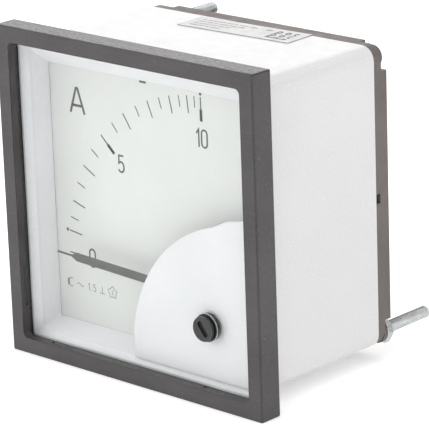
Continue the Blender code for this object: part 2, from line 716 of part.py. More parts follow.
def zero_adjuster():
    """Slotted plastic screw that turns in the pane and swings the lever with an off-centre pin."""
    front = PANE_FRONT - ADJUSTER_PROUD
    groove = front + ADJUSTER_HEAD
    collar = PANE_FRONT - SEAT
    shoulder = PANE_BACK
    end = POINTER_DEPTH
    head = ADJUSTER_RADIUS - ADJUSTER_HEAD_STEP
    profile = [
        (front, 0),
        (front, head),
        (groove, head),
        (groove, ADJUSTER_NECK),
        (collar, ADJUSTER_NECK),
        (collar, ADJUSTER_RADIUS),
        (shoulder, ADJUSTER_RADIUS),
        (shoulder, ADJUSTER_SHANK),
        (end, ADJUSTER_SHANK),
        (end, 0),
    ]
    adjuster = turned("zero_adjuster", BLACK_PLASTIC, profile, ADJUSTER, 40)
    length, width, depth = ADJUSTER_SLOT
    half = (length - width) / 2
    angle = math.radians(ADJUSTER_SLOT_ANGLE)
    x, z = half * math.cos(angle), half * math.sin(angle)
    slot = plate("adjuster_slot", None, bar((-x, -z), (x, z), width), front - OVER, depth + OVER, at=ADJUSTER)
    cut(adjuster, slot)
    (x, z), _ = away_from_pivot()
    centre = (ADJUSTER[0] + ECCENTRIC_OFFSET * x, ADJUSTER[1] + ECCENTRIC_OFFSET * z)
    back = LEVER_FRONT + LEVER_THICKNESS + SEAT
    join(adjuster, rod("eccentric", None, ECCENTRIC_RADIUS, end - ROOT, back, centre, 16))


def zero_lever():
    """Ring round the front jewel screw with a fork that straddles the adjuster's pin."""
    (x, z), distance = away_from_pivot()
    pin = distance + ECCENTRIC_OFFSET
    reach = pin + LEVER_WIDTH / 2
    end = (PIVOT[0] + reach * x, PIVOT[1] + reach * z)
    ring = circle(LEVER_RING, PIVOT)
    hole = circle(JEWEL_RADIUS + RUN, PIVOT)
    lever = plate("zero_lever", BRASS, ring, LEVER_FRONT, LEVER_THICKNESS, [hole])
    root = JEWEL_RADIUS + 2 * RUN + LEVER_WIDTH / 2
    start = (PIVOT[0] + root * x, PIVOT[1] + root * z)
    join(lever, plate("lever_arm", None, bar(start, end, LEVER_WIDTH), LEVER_FRONT, LEVER_THICKNESS))
    slot_start = pin - 2 * ECCENTRIC_OFFSET
    start = (PIVOT[0] + slot_start * x, PIVOT[1] + slot_start * z)
    far = reach + LEVER_WIDTH
    end = (PIVOT[0] + far * x, PIVOT[1] + far * z)
    width = 2 * (ECCENTRIC_RADIUS + RUN)
    slot = plate("fork", None, bar(start, end, width), LEVER_FRONT - OVER, LEVER_THICKNESS + 2 * OVER)
    cut(lever, slot)


def hairspring():
    (x, z), _ = away_from_pivot()
    start = math.degrees(math.atan2(z, -x))
    outline = spiral(SPRING_RADII, SPRING_TURNS, SPRING_SHEET, start)
    plate("hairspring", BRONZE, outline, SPRING_FRONT, SPRING_HEIGHT)


def front_bridge():
    """Angled strip over the pivot that carries the front jewel screw on two posts."""
    holes = [circle(BRIDGE_SCREW_RADIUS + RUN, post, 16) for post in BRIDGE_POSTS]
    first, second = (bar(PIVOT, post, BRIDGE_WIDTH) for post in BRIDGE_POSTS)
    thickness = BRIDGE_THICKNESS
    bridge = plate("front_bridge", ALUMINIUM, first, BRIDGE_DEPTH, thickness, holes[:1])
    join(bridge, plate("second_arm", None, second, BRIDGE_DEPTH, thickness, holes[1:]))
    back = BRIDGE_DEPTH + thickness + OVER
    cut(bridge, rod("jewel_hole", None, JEWEL_RADIUS + RUN, BRIDGE_DEPTH - OVER, back, PIVOT, 24))


def bridge_screws():
    for number, post in enumerate(BRIDGE_POSTS, 1):
        head = (2 * BRIDGE_SCREW_RADIUS, BRIDGE_SCREW_RADIUS)
        front = BRIDGE_DEPTH - SEAT - head[1]
        name = f"bridge_screw_{number}"
        screw_with_slot(name, ZINC, post, front, BRIDGE_SCREW_RADIUS, head, BRIDGE_SCREW_LENGTH)


def jewel_screws():
    """Two screws with a conical cup each, between which the staff turns."""
    radius, thickness = JEWEL_FLANGE
    neck = BRIDGE_DEPTH - SEAT
    end = BRIDGE_DEPTH + JEWEL_REACH
    front = [
        (neck - thickness, 0),
        (neck - thickness, radius),
        (neck, radius),
        (neck, JEWEL_RADIUS),
        (end, JEWEL_RADIUS),
        (end, CUP_RADIUS),
        (end - CUP_DEPTH, 0),
    ]
    turned("front_jewel_screw", BRASS, front, PIVOT, 24)
    start = LID_FRONT + SEAT
    neck = LID_BACK + SEAT
    rear = [
        (start + CUP_DEPTH, 0),
        (start, CUP_RADIUS),
        (start, JEWEL_RADIUS),
        (neck, JEWEL_RADIUS),
        (neck, radius),
        (neck + thickness, radius),
        (neck + thickness, 0),
    ]
    turned("rear_jewel_screw", BRASS, rear, PIVOT, 24)


# What turns with the pointer


def staff():
    """Steel spindle with a cone at each end."""
    front = BRIDGE_DEPTH + JEWEL_REACH - CUP_DEPTH + CUP_GAP
    back = LID_FRONT + SEAT + CUP_DEPTH - CUP_GAP
    profile = [
        (front, 0),
        (front + STAFF_POINT, STAFF_RADIUS),
        (back - STAFF_POINT, STAFF_RADIUS),
        (back, 0),
    ]
    turned("staff", ZINC, profile, PIVOT, 20)


def pointer():
    """Sheet bar cranked forward from its tail and hub to run just in front of the dial."""
    half, needle = POINTER_WIDTH / 2, NEEDLE_WIDTH / 2
    stations = (
        (-POINTER_TAIL, POINTER_ROOT_DEPTH, half),
        (CRANK[0], POINTER_ROOT_DEPTH, half),
        (CRANK[1], POINTER_DEPTH, half),
        (POINTER_SHOULDER, POINTER_DEPTH, half),
        (POINTER_NEEDLE, POINTER_DEPTH, needle),
        (POINTER_TIP, POINTER_DEPTH, needle),
    )
    along = math.radians(POINTER_REST)
    x, z = -math.cos(along), math.sin(along)
    points = []
    for radius, depth, width in stations:
        points.append((radius * x - width * z, depth, radius * z + width * x))
        points.append((radius * x + width * z, depth, radius * z - width * x))
    faces = [(2 * i, 2 * i + 1, 2 * i + 3, 2 * i + 2) for i in range(len(stations) - 1)]
    data = bpy.data.meshes.new("pointer")
    data.from_pydata(points, [], faces)
    needle_piece = place("pointer", data, BLACK_PAINT, PIVOT, upright=True)
    sheet = needle_piece.modifiers.new("sheet", "SOLIDIFY")
    sheet.thickness = POINTER_SHEET
    sheet.offset = 0
    back = POINTER_ROOT_DEPTH + OVER
    hole = rod("staff_hole", None, STAFF_RADIUS + RUN, POINTER_ROOT_DEPTH - OVER, back, PIVOT, 20)
    cut(needle_piece, hole)


def pointer_hub():
    """Round collet with an arm for the side weight."""
    hole = circle(STAFF_RADIUS + RUN, PIVOT, 20)
    outline = circle(HUB_RADIUS, PIVOT)
    hub = plate("pointer_hub", ALUMINIUM, outline, HUB_FRONT, HUB_THICKNESS, [hole])
    side = POINTER_REST + 270
    start, end = about_pivot(HUB_RADIUS, side), about_pivot(SIDE_WEIGHT[1], side)
    arm = bar(start, end, WEIGHT_WIDTH / 2)
    join(hub, plate("side_arm", None, arm, HUB_FRONT, HUB_THICKNESS))


def weight(name, span, angle, front):
    """Brass block on an arm, as far back as the dial allows."""
    length = span[1] - span[0]
    thickness = DIAL_DEPTH - 2 * SEAT - front
    outline = rectangle(length / 2, WEIGHT_WIDTH / 2, WEIGHT_WIDTH / 2)
    middle = about_pivot((span[0] + span[1]) / 2, angle)
    piece = plate(name, BRASS, outline, front, thickness, at=middle)
    piece.rotation_euler.y = math.radians(angle)


def weights():
    weight("tail_weight", TAIL_WEIGHT, POINTER_REST + 180, HUB_FRONT)
    weight("side_weight", SIDE_WEIGHT, POINTER_REST + 270, HUB_FRONT + HUB_THICKNESS + SEAT)


def irons():
    """Curved iron in the coil's bore and one on the staff, which it pushes round."""
    front = BOBBIN_FRONT + (COIL_LENGTH - IRON_LENGTH) / 2
    outline = band(FIXED_IRON_RADIUS, FIXED_IRON_RADIUS + IRON_SHEET, *FIXED_IRON_ARC)
    plate("fixed_iron", IRON, outline, front, IRON_LENGTH)
    start, end = MOVING_IRON_ARC
    outline = band(MOVING_IRON_RADIUS, MOVING_IRON_RADIUS + IRON_SHEET, start, end)
    moving = plate("moving_iron", IRON, outline, front, IRON_LENGTH)
    collar = 2.5 * STAFF_RADIUS
    inner = band(collar - ROOT, MOVING_IRON_RADIUS + IRON_SHEET / 2, start + 8, end - 8)
    join(moving, plate("web", None, inner, front + IRON_SHEET / 2, IRON_SHEET))
    hole = [circle(STAFF_RADIUS + RUN, PIVOT, 20)]
    outline = circle(collar, PIVOT, 20)
    join(moving, plate("collar", None, outline, front + 0.25 * IRON_SHEET, 1.5 * IRON_SHEET, hole))


def damping_vane():
    """Paddle on the staff that sweeps the air in the chamber."""
    front = CHAMBER_FRONT + CHAMBER_WALL + VANE_GAP
    height = CHAMBER_DEPTH - CHAMBER_WALL - 2 * VANE_GAP
    collar = 2.5 * STAFF_RADIUS
    hole = [circle(STAFF_RADIUS + RUN, PIVOT, 20)]
    vane = plate("damping_vane", ALUMINIUM, circle(collar, PIVOT, 20), front, height, hole)
    start = about_pivot(collar - ROOT, VANE_ANGLE)
    end = about_pivot(CHAMBER_RADIUS - VANE_GAP, VANE_ANGLE)
    join(vane, plate("paddle", None, bar(start, end, VANE_SHEET, 4), front + ROOT / 2, height - ROOT))


# Movement stack


def coil():
    """Round bobbin with its winding."""
    front, back = BOBBIN_FRONT, BOBBIN_FRONT + COIL_LENGTH
    tube = BOBBIN_BORE + BOBBIN_WALL
    bobbin = [
        (front, BOBBIN_BORE),
        (front, COIL_FLANGE_RADIUS),
        (front + COIL_FLANGE, COIL_FLANGE_RADIUS),
        (front + COIL_FLANGE, tube),
        (back - COIL_FLANGE, tube),
        (back - COIL_FLANGE, COIL_FLANGE_RADIUS),
        (back, COIL_FLANGE_RADIUS),
        (back, BOBBIN_BORE),
    ]
    turned("coil_bobbin", TAN_PLASTIC, bobbin, PIVOT, 40, ring=True)
    front += COIL_FLANGE + SEAT
    back -= COIL_FLANGE + SEAT
    winding = [(front, tube + RUN), (front, COIL_RADIUS), (back, COIL_RADIUS), (back, tube + RUN)]
    turned("coil_winding", COPPER, winding, PIVOT, 40, ring=True)


def coil_leads():
    """Sleeved wires from the winding to the heads of the terminals."""
    beside = STACK_HALF + 2 * LEAD_RADIUS
    near = COIL_RADIUS + LEAD_RADIUS + SEAT
    start, back = BOBBIN_FRONT + COIL_LENGTH / 2, LID_BACK + LEAD_RADIUS
    head = BASE_FRONT - TERMINAL_HEAD[1] - 3 * SEAT
    left, right = TERMINALS["left"], TERMINALS["right"]
    routes = {
        "left": (
            (PIVOT[0] - near, start, PIVOT[1]),
            (PIVOT[0] - beside, start + 2 * LEAD_RADIUS, PIVOT[1]),
            (PIVOT[0] - beside, back, PIVOT[1] / 2),
            (left[0], head - 2 * LEAD_RADIUS, left[1]),
            (left[0], head, left[1]),
        ),
        "right": (
            (PIVOT[0], start, PIVOT[1] + near),
            (PIVOT[0], start + 2 * LEAD_RADIUS, PIVOT[1] + beside),
            (PIVOT[0], back, PIVOT[1] + beside),
            (right[0], head - 2 * LEAD_RADIUS, right[1]),
            (right[0], head, right[1]),
        ),
    }
    for name, route in routes.items():
        curve = bpy.data.curves.new(f"coil_lead_{name}", "CURVE")
        curve.dimensions = "3D"
        curve.bevel_depth = LEAD_RADIUS
        curve.bevel_resolution = 2
        curve.use_fill_caps = True
        spline = curve.splines.new("POLY")
        spline.points.add(len(route) - 1)
        for point, place_at in zip(spline.points, route):
            point.co = (*place_at, 1)
        place(f"coil_lead_{name}", curve, RED_SLEEVE, upright=True)


def stack_square():
    reach = [(-STACK_HALF, -STACK_HALF), (STACK_HALF, -STACK_HALF)]
    corners = reach + [(-x, -z) for x, z in reach]
    return [(PIVOT[0] + x, PIVOT[1] + z) for x, z in corners]


def damping_chamber():
    """Block with a sector-shaped pocket that the lid closes."""
    holes = [circle(STACK_SCREW_RADIUS + RUN, screw, 16) for screw in STACK_SCREWS]
    holes.append(circle(STAFF_RADIUS + FIT, PIVOT, 20))
    square = stack_square()
    chamber = plate("damping_chamber", WHITE_PLASTIC, square, CHAMBER_FRONT, CHAMBER_DEPTH, holes)
    floor = CHAMBER_FRONT + CHAMBER_WALL
    start, end = VANE_ANGLE + SWEEP[0] - VANE_MARGIN, VANE_ANGLE + SWEEP[1] + VANE_MARGIN
    pocket = arc(CHAMBER_RADIUS, start, end, 24, PIVOT)
    pocket += arc(2 * MM, end, start + 360, 16, PIVOT)
    cut(chamber, plate("pocket", None, pocket, floor, CHAMBER_DEPTH))


def damping_lid():
    """Plate that closes the chamber and carries the rear jewel screw."""
    holes = [circle(STACK_SCREW_RADIUS + RUN, screw, 16) for screw in STACK_SCREWS]
    holes.append(circle(JEWEL_RADIUS + RUN, PIVOT, 20))
    plate("damping_lid", ALUMINIUM, stack_square(), LID_FRONT, LID_THICKNESS, holes)


def stack_screws():
    head = (2 * STACK_SCREW_RADIUS, 1.2 * MM)
    back = LID_BACK + SEAT + head[1]
    length = LID_BACK + SEAT - (FRAME_FRONT + FRAME_THICKNESS / 2)
    for number, centre in enumerate(STACK_SCREWS, 1):
        name = f"stack_screw_{number}"
        screw_with_slot(name, ZINC, centre, back, STACK_SCREW_RADIUS, head, length, behind=True)


def movement_frame():
    """Plate behind the dial with two posts for the bridge and three pillars to the rear base."""
    holes = [circle(STAFF_RADIUS + 2.5 * MM, PIVOT)]
    holes += [circle(STACK_SCREW_RADIUS + RUN, screw, 16) for screw in STACK_SCREWS]
    holes += [circle(DIAL_SCREW_RADIUS + RUN, screw, 16) for screw in DIAL_SCREWS]
    outline = rounded_square(HALF_BORE - FIT, FRAME_CORNER)
    frame = plate("movement_frame", WHITE_PLASTIC, outline, FRAME_FRONT, FRAME_THICKNESS, holes)
    front = BRIDGE_DEPTH + BRIDGE_THICKNESS + SEAT
    for post in BRIDGE_POSTS:
        join(frame, rod("post", None, BRIDGE_POST_RADIUS, front, FRAME_FRONT + ROOT, post, 20))
    for post in BRIDGE_POSTS:
        radius = BRIDGE_SCREW_RADIUS + RUN
        back = BRIDGE_DEPTH + BRIDGE_SCREW_LENGTH + SEAT
        cut(frame, rod("post_hole", None, radius, front - OVER, back, post, 16))
    end = BASE_FRONT - SEAT
    for pillar in PILLARS:
        join(frame, rod("pillar", None, PILLAR_RADIUS, FRAME_BACK - ROOT, end, pillar, 24))
    for pillar in PILLARS:
        radius = PILLAR_SCREW[0] + RUN
        start = BASE_BACK - PILLAR_SCREW[2] - PILLAR_SCREW_LENGTH - OVER
        cut(frame, rod("pillar_hole", None, radius, start, end + OVER, pillar, 16))


def frame_screws():
    shank, head, thickness = PILLAR_SCREW
    back = BASE_BACK - SEAT
    for number, centre in enumerate(PILLARS, 1):
        name = f"frame_screw_{number}"
        head_size = (head, thickness)
        screw_with_slot(name, ZINC, centre, back, shank, head_size, PILLAR_SCREW_LENGTH, behind=True)


# Rear hardware


def nut(name, finish, size, bore, centre, front):
    across, thickness = size
    plate(name, finish, hexagon(across), front, thickness, [circle(bore, steps=24)], centre)


def terminals():
    """Threaded stud with its head inside the base, washer and nut for a cable lug outside."""
    for side, centre in TERMINALS.items():
        across, thickness = TERMINAL_HEAD
        front = BASE_FRONT - SEAT - thickness
        name = f"terminal_stud_{side}"
        stud = plate(name, BRASS, hexagon(across), front, thickness, at=centre)
        tip = BASE_BACK + TERMINAL_LENGTH
        chamfer = 0.4 * MM
        shank = [
            (front + ROOT, 0),
            (front + ROOT, TERMINAL_RADIUS),
            (tip - chamfer, TERMINAL_RADIUS),
            (tip, TERMINAL_RADIUS - chamfer),
            (tip, 0),
        ]
        join(stud, turned("terminal_shank", None, shank, centre, 24))
        bore = TERMINAL_RADIUS + NUT_BORE
        radius, thin = TERMINAL_WASHER
        start = BASE_BACK + 2 * SEAT
        washer = [(start, bore), (start, radius), (start + thin, radius), (start + thin, bore)]
        turned(f"terminal_washer_{side}", BRASS, washer, centre, 28, ring=True)
        after = start + thin + 2 * SEAT
        nut(f"terminal_nut_{side}", BRASS, TERMINAL_NUT, bore, centre, after)


def mounting_studs():
    """Long studs at two opposite corners that draw the meter against its panel, each with a nut."""
    for name, centre in STUDS.items():
        chamfer = 0.35 * MM
        shank = [
            (BASE_STEP - STUD_ROOT, 0),
            (BASE_STEP - STUD_ROOT, STUD_RADIUS),
            (STUD_TIP - chamfer, STUD_RADIUS),
            (STUD_TIP, STUD_RADIUS - chamfer),
            (STUD_TIP, 0),
        ]
        turned(f"mounting_stud_{name}", ZINC, shank, centre, 24)
        bore = STUD_RADIUS + NUT_BORE
        front = BASE_STEP + STUD_BOSS_HEIGHT + 2 * SEAT
        nut(f"mounting_nut_{name}", ZINC, STUD_NUT, bore, centre, front)


def rating_label():
    length, width, thickness = LABEL_SIZE
    x, back = LABEL_PLACE
    depth = BEZEL_DEPTH + HOUSING_DEPTH - back
    gap = SEAT / 2
    low = (x - length / 2, depth - width / 2, HALF_HOUSING + gap)
    high = (x + length / 2, depth + width / 2, HALF_HOUSING + gap + thickness)
    label = block("rating_label", FOIL, low, high)
    label.rotation_euler.z = math.radians(LABEL_TURN)


bezel()
window_pane()
housing()
dial_surround()
rear_base()
dial_plate()
dial_screws()
movement_cover()
zero_adjuster()
zero_lever()
hairspring()
front_bridge()
bridge_screws()
jewel_screws()
staff()
pointer()
pointer_hub()
weights()
irons()
damping_vane()
coil()
coil_leads()
damping_chamber()
damping_lid()
stack_screws()
movement_frame()
frame_screws()
terminals()
mounting_studs()
rating_label()
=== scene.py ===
"""Looks for the panel ammeter: materials, printed dial and label, threads, nuts, light and camera.

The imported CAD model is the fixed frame. x runs to the right seen from the front, y into the depth,
z up. Lengths are in metres, but the flat print and the sizes of material detail are in millimetres.
"""

import math

import bmesh
import bpy
from mathutils import Matrix, Vector


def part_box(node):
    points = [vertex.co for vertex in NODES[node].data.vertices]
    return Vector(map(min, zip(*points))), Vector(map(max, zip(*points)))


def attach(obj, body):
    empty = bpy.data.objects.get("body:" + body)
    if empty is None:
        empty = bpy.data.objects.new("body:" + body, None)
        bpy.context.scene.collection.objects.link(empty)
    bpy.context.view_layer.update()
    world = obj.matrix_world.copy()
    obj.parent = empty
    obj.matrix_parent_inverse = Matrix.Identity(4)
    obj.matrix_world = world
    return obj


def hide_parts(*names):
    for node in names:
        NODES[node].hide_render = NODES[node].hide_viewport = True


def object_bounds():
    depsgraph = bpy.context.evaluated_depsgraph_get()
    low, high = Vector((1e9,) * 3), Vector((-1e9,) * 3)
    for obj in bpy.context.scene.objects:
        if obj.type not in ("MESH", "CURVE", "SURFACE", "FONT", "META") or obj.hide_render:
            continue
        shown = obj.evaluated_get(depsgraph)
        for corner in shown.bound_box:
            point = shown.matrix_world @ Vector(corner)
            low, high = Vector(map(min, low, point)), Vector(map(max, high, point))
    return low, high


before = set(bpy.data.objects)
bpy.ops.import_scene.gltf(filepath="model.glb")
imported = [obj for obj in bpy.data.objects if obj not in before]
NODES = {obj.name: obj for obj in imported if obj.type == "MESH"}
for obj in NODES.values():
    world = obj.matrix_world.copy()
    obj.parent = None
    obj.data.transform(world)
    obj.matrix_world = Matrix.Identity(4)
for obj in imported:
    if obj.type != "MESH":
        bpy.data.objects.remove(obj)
cad_low, cad_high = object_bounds()
MM = 0.001

# Dial print, in millimetres and degrees clockwise from the left
SCALE_ANGLES = {
    2: 7.0,
    2.5: 11.4,
    3: 16.9,
    3.5: 23.4,
    4: 29.9,
    4.5: 36.6,
    5: 43.3,
    5.5: 49.8,
    6: 55.8,
    6.5: 61.8,
    7: 67.3,
    7.5: 72.3,
    8: 76.6,
    8.5: 80.5,
    9: 83.8,
    9.5: 86.7,
    10: 89.2,
}
MAJOR_VALUES = (5, 10)
DOTTED_VALUES = (2, 10)
TICK_OUTER = 40.5
TICK_INNER = {"half": 38.1, "whole": 36.8, "major": 35.4}
TICK_WIDTH = {"half": 0.24, "whole": 0.28, "major": 0.3}
MAJOR_FOOT = (37.9, 0.75)  # where the wide inner part of a major tick starts, and its width
DOT_RADIUS = 0.38
DOT_AT = 41.15
# Text, x, height above the meter's middle, letter height and line weight
NUMERALS = (
    ("0", -19.9, -14.75, 4.1, 0.42),
    ("5", -10.05, 7.85, 3.8, 0.42),
    ("10", 13.25, 17.25, 3.8, 0.42),
    ("A", -22.3, 19.55, 5.6, 0.58),
)
TOP_MARK = (-3.8, -1.9, 26.6, 0.6)  # left, right, height above the meter's middle, and weight

# Row of symbols, in millimetres
SYMBOLS_AT = -21.4  # from the meter's middle
SYMBOL_LINE = 0.17
SYMBOL_HALF = 0.75  # half the height or width of the plain strokes
COIL_SIGN = (-26.7, (0.75, 0.95), 0.2)  # x, radii, weight
IRON_SIGN = (-27.6, 0.5)  # x, weight
WAVE_SIGN = (-24.9, 0.12, 0.32)  # left, step, height
CLASS_SIGN = ("1.5", -20.5, 1.6, 0.32)  # text, x, height, gap
UPRIGHT_SIGN = -17.45
STAR_SIGN = (-14.35, 1.4, 0.98)  # x, outer and inner radius
STAR_TEXT = ("2", 0.9, 0.14)  # text, height, weight

# Rating label, in millimetres from its middle
LABEL_ROWS = (2.2, 0.7, -0.8, -2.3)
LABEL_LEFT = -12.9
LABEL_LINE = 0.5
LABEL_GAP = 0.5  # between dashes
LABEL_SPOT = (4.4, 5.9, 2.2, 0.9)  # left, right, height, weight
LABEL_SQUARE = (7.6, 5.4, 12)  # left, side, cells along a side
LABEL_TURN = math.radians(2.5)

INK_LIFT = 0.012 * MM
INK_THICKNESS = 0.012 * MM

# Painted shade on the floor of the adjuster's slot, a near-black layer, in millimetres
SLOT_ANGLE = math.radians(-52.0)
SLOT_REACH = 1.7
SLOT_WIDTH = 1.2
SLOT_DEPTH = 0.5

# Rim of the window's hole round the adjuster
RIM_GAP = 0.05 * MM
RIM_WIDTH = 0.1 * MM
RIM_PROUD = 0.03 * MM
RIM_DEPTH = 0.1 * MM
RIM_SIDES = 64

# Threads and nuts
STUD_PITCH = 0.5 * MM
THREAD_DEPTH = 0.55  # share of the pitch
THREAD_SHAPE = 1.2  # above 1 widens the crests
THREAD_SIDES = 28
THREAD_STEPS = 6  # rings in a turn
TIP_LENGTH = 0.35 * MM
TIP_SHARE = 0.55  # of the radius, at the very end
STUD_BORE = 1.4 * MM
TERMINAL_BORE = 2.15 * MM
NUT_SIDES = 72
NUT_FACE = 0.95  # radius of the flat face, as a share of half the width across flats
NUT_SINK = 0.12 * MM
NUT_SLOPE = math.tan(math.radians(30))

# Nodes with softened edges, and how far in millimetres
SOFTENED = {
    "zero_adjuster": 0.06,
    "movement_cover": 0.06,
    "pointer": 0.06,
    "bezel": 0.12,
    "rear_base": 0.15,
}

# Studio: name, place, target, size and power of each lamp
LAMPS = (
    ("overhead", (0.1, 0.1, 1.2), (0.0, 0.0, 0.0), 2.0, 10.0),
    ("front_fill", (-0.9, -1.2, 0.6), (0.0, 0.0, 0.03), 1.4, 10.0),
    ("right_fill", (1.2, -0.1, 0.5), (0.0, 0.0, 0.03), 1.0, 3.0),
    ("back_panel", (-1.5, 1.6, 0.75), (0.0, 0.0, 0.05), 1.2, 7.0),
)
ROOM_STRENGTH = 0.75
FLOOR_HALF = 4.0
FLOOR_GLOW = 0.25

CAMERA_LENS = 247.3  # millimetres
CAMERA_AT = (0.4066, -0.4045, 0.2160)  # y is from the bezel's front
CAMERA_RIGHT = (0.734, 0.678, -0.034)
CAMERA_UP = (-0.179, 0.242, 0.954)
CAMERA_FAR = 20.0


# ---------------------------------------------------------------- places from the CAD


def middle(node):
    low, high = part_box(node)
    return (low + high) / 2


PIVOT = middle("staff")
MIDDLE_Z = (cad_low.z + cad_high.z) / 2 / MM
DIAL_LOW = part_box("dial_plate")[0]
LABEL_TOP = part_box("rating_label")[1].z


# ---------------------------------------------------------------- materials


class Shader:
    """A Principled material with helpers for procedural detail in object coordinates."""

    def __init__(self, name):
        self.material = bpy.data.materials.new(name)
        self.material.use_nodes = True
        self.tree = self.material.node_tree
        self.main = self.tree.nodes["Principled BSDF"]
        self.place = self.add("ShaderNodeTexCoord").outputs["Object"]
        self.height = None

    def add(self, kind, **inputs):
        node = self.tree.nodes.new(kind)
        for name, value in inputs.items():
            node.inputs[name].default_value = value
        return node

    def link(self, output, socket):
        self.tree.links.new(output, socket)

    def noise(self, size_mm, detail=3.0, roughness=0.5):
        """Noise from 0 to 1 with spots about this big."""
        node = self.add("ShaderNodeTexNoise", Scale=1 / (size_mm * MM), Detail=detail, Roughness=roughness)
        self.link(self.place, node.inputs["Vector"])
        return node.outputs["Fac"]

    def ramp(self, value, low, high, start=0.3, end=0.7):
        """Maps a value to a number between low and high."""
        node = self.add("ShaderNodeMapRange")
        node.inputs["From Min"].default_value = start
        node.inputs["From Max"].default_value = end
        node.inputs["To Min"].default_value = low
        node.inputs["To Max"].default_value = high
        self.link(value, node.inputs["Value"])
        return node.outputs["Result"]

    def mix(self, value, first, second):
        """Colour between two others, each a triple or a colour output."""
        node = self.tree.nodes.new("ShaderNodeMix")
        node.data_type = "RGBA"
        self.link(value, node.inputs["Factor"])
        for colour, socket in ((first, node.inputs[6]), (second, node.inputs[7])):
            if isinstance(colour, tuple):
                socket.default_value = (*colour, 1.0)
            else:
                self.link(colour, socket)
        return node.outputs[2]

    def colour(self, output):
        self.link(output, self.main.inputs["Base Color"])

    def roughness(self, output):
        self.link(output, self.main.inputs["Roughness"])

    def bump(self, output, depth_mm, strength=1.0):
        """Adds a layer of relief this deep."""
        node = self.add("ShaderNodeBump", Strength=strength, Distance=depth_mm * MM)
        self.link(output, node.inputs["Height"])
        if self.height is not None:
            self.link(self.height, node.inputs["Normal"])
        self.height = node.outputs["Normal"]
        self.link(self.height, self.main.inputs["Normal"])

    def stretched(self, size_mm, stretch, detail=4.0):
        """Noise drawn out along one axis, as brushing or rolling leaves it."""
        node = self.add("ShaderNodeMapping")
        node.inputs["Scale"].default_value = stretch
        self.link(self.place, node.inputs["Vector"])
        noise = self.add("ShaderNodeTexNoise", Scale=1 / (size_mm * MM), Detail=detail)
        self.link(node.outputs["Vector"], noise.inputs["Vector"])
        return noise.outputs["Fac"]

    def edges(self, width_mm=0.3):
        """From 0 on flats to 1 along edges and in creases, for edge wear and for painted shade and sheen
        there.
        """
        bevel = self.add("ShaderNodeBevel", Radius=width_mm * MM)
        bevel.samples = 6
        flat = self.tree.nodes.new("ShaderNodeNewGeometry")
        apart = self.tree.nodes.new("ShaderNodeVectorMath")
        apart.operation = "DISTANCE"
        self.link(bevel.outputs["Normal"], apart.inputs[0])
        self.link(flat.outputs["Normal"], apart.inputs[1])
        return self.ramp(apart.outputs["Value"], 0.0, 1.0, 0.05, 0.4)


# In each of these, dark, light, tarnish and the edge colour are linear colours, and rough is a range of
# roughness. The edge colour is partly edge wear and partly painted light: painted sheen where it is lighter,
# painted shade where it is darker.


def plastic(name, dark, light, rough, grain_mm=0.16, grain_depth=0.006, cloud_mm=14.0, edge_wear_and_painted_light=None):
    """Moulded plastic: faint clouding, spark-eroded grain, and an edge colour that is partly wear and partly
    painted light along edges and in creases.
    """
    s = Shader(name)
    tone = s.mix(s.ramp(s.noise(cloud_mm, 2.0), 0.0, 1.0), dark, light)
    speck = s.ramp(s.noise(grain_mm * 2.5, 2.0), 0.0, 0.35, 0.5, 0.8)
    tone = s.mix(speck, tone, tuple(1.25 * c for c in light))
    # Edges and creases take the edge colour: partly wear, and painted light, as sheen where that colour is
    # lighter and as shade where it is darker.
    if edge_wear_and_painted_light:
        share = s.ramp(s.noise(1.2, 4.0), 0.2, 1.0)
        node = s.add("ShaderNodeMath")
        node.operation = "MULTIPLY"
        s.link(s.edges(), node.inputs[0])
        s.link(share, node.inputs[1])
        tone = s.mix(node.outputs["Value"], tone, edge_wear_and_painted_light)
    s.colour(tone)
    s.roughness(s.ramp(s.noise(3.0, 5.0), rough[0], rough[1]))
    s.bump(s.noise(grain_mm, 2.0), grain_depth)
    s.bump(s.noise(9.0, 2.0), 0.02, 0.4)
    return s.material


def moulded_black():
    """Matt black plastic: brownish clouding, fine grain, pale dust specks, scuffs, and painted shade that
    darkens edges and creases almost to black.
    """
    s = Shader("black_plastic")
    tone = s.mix(s.ramp(s.noise(11.0, 3.0), 0.0, 1.0), (0.026, 0.0225, 0.023), (0.042, 0.0375, 0.038))
    grain = s.ramp(s.noise(0.28, 3.0, 0.65), 0.0, 0.5, 0.42, 0.72)
    tone = s.mix(grain, tone, (0.075, 0.07, 0.069))
    streaks = s.ramp(s.stretched(0.5, (0.05, 1.0, 1.0)), 0.0, 0.3, 0.5, 0.75)
    tone = s.mix(streaks, tone, (0.07, 0.064, 0.062))
    dust = s.ramp(s.noise(0.55, 1.0), 0.0, 0.6, 0.74, 0.8)
    tone = s.mix(dust, tone, (0.3, 0.28, 0.25))
    # Painted shade: edges and creases darkened almost to black, as they look in shadow.
    s.colour(s.mix(s.edges(0.34), tone, (0.006, 0.006, 0.006)))
    s.roughness(s.ramp(s.noise(0.8, 5.0), 0.3, 0.5))
    s.bump(s.noise(0.2, 3.0), 0.02)
    s.bump(s.stretched(0.6, (0.04, 1.0, 1.0)), 0.012)
    return s.material


def cut_edge():
    """The bright, slightly frosted edge of a hole cut in clear sheet."""
    s = Shader("cut_edge")
    s.colour(s.mix(s.ramp(s.noise(0.4), 0.0, 1.0), (0.62, 0.63, 0.64), (0.85, 0.86, 0.87)))
    s.roughness(s.ramp(s.noise(0.3), 0.2, 0.4))
    s.main.inputs["Transmission Weight"].default_value = 0.3
    s.bump(s.noise(0.3), 0.01)
    return s.material


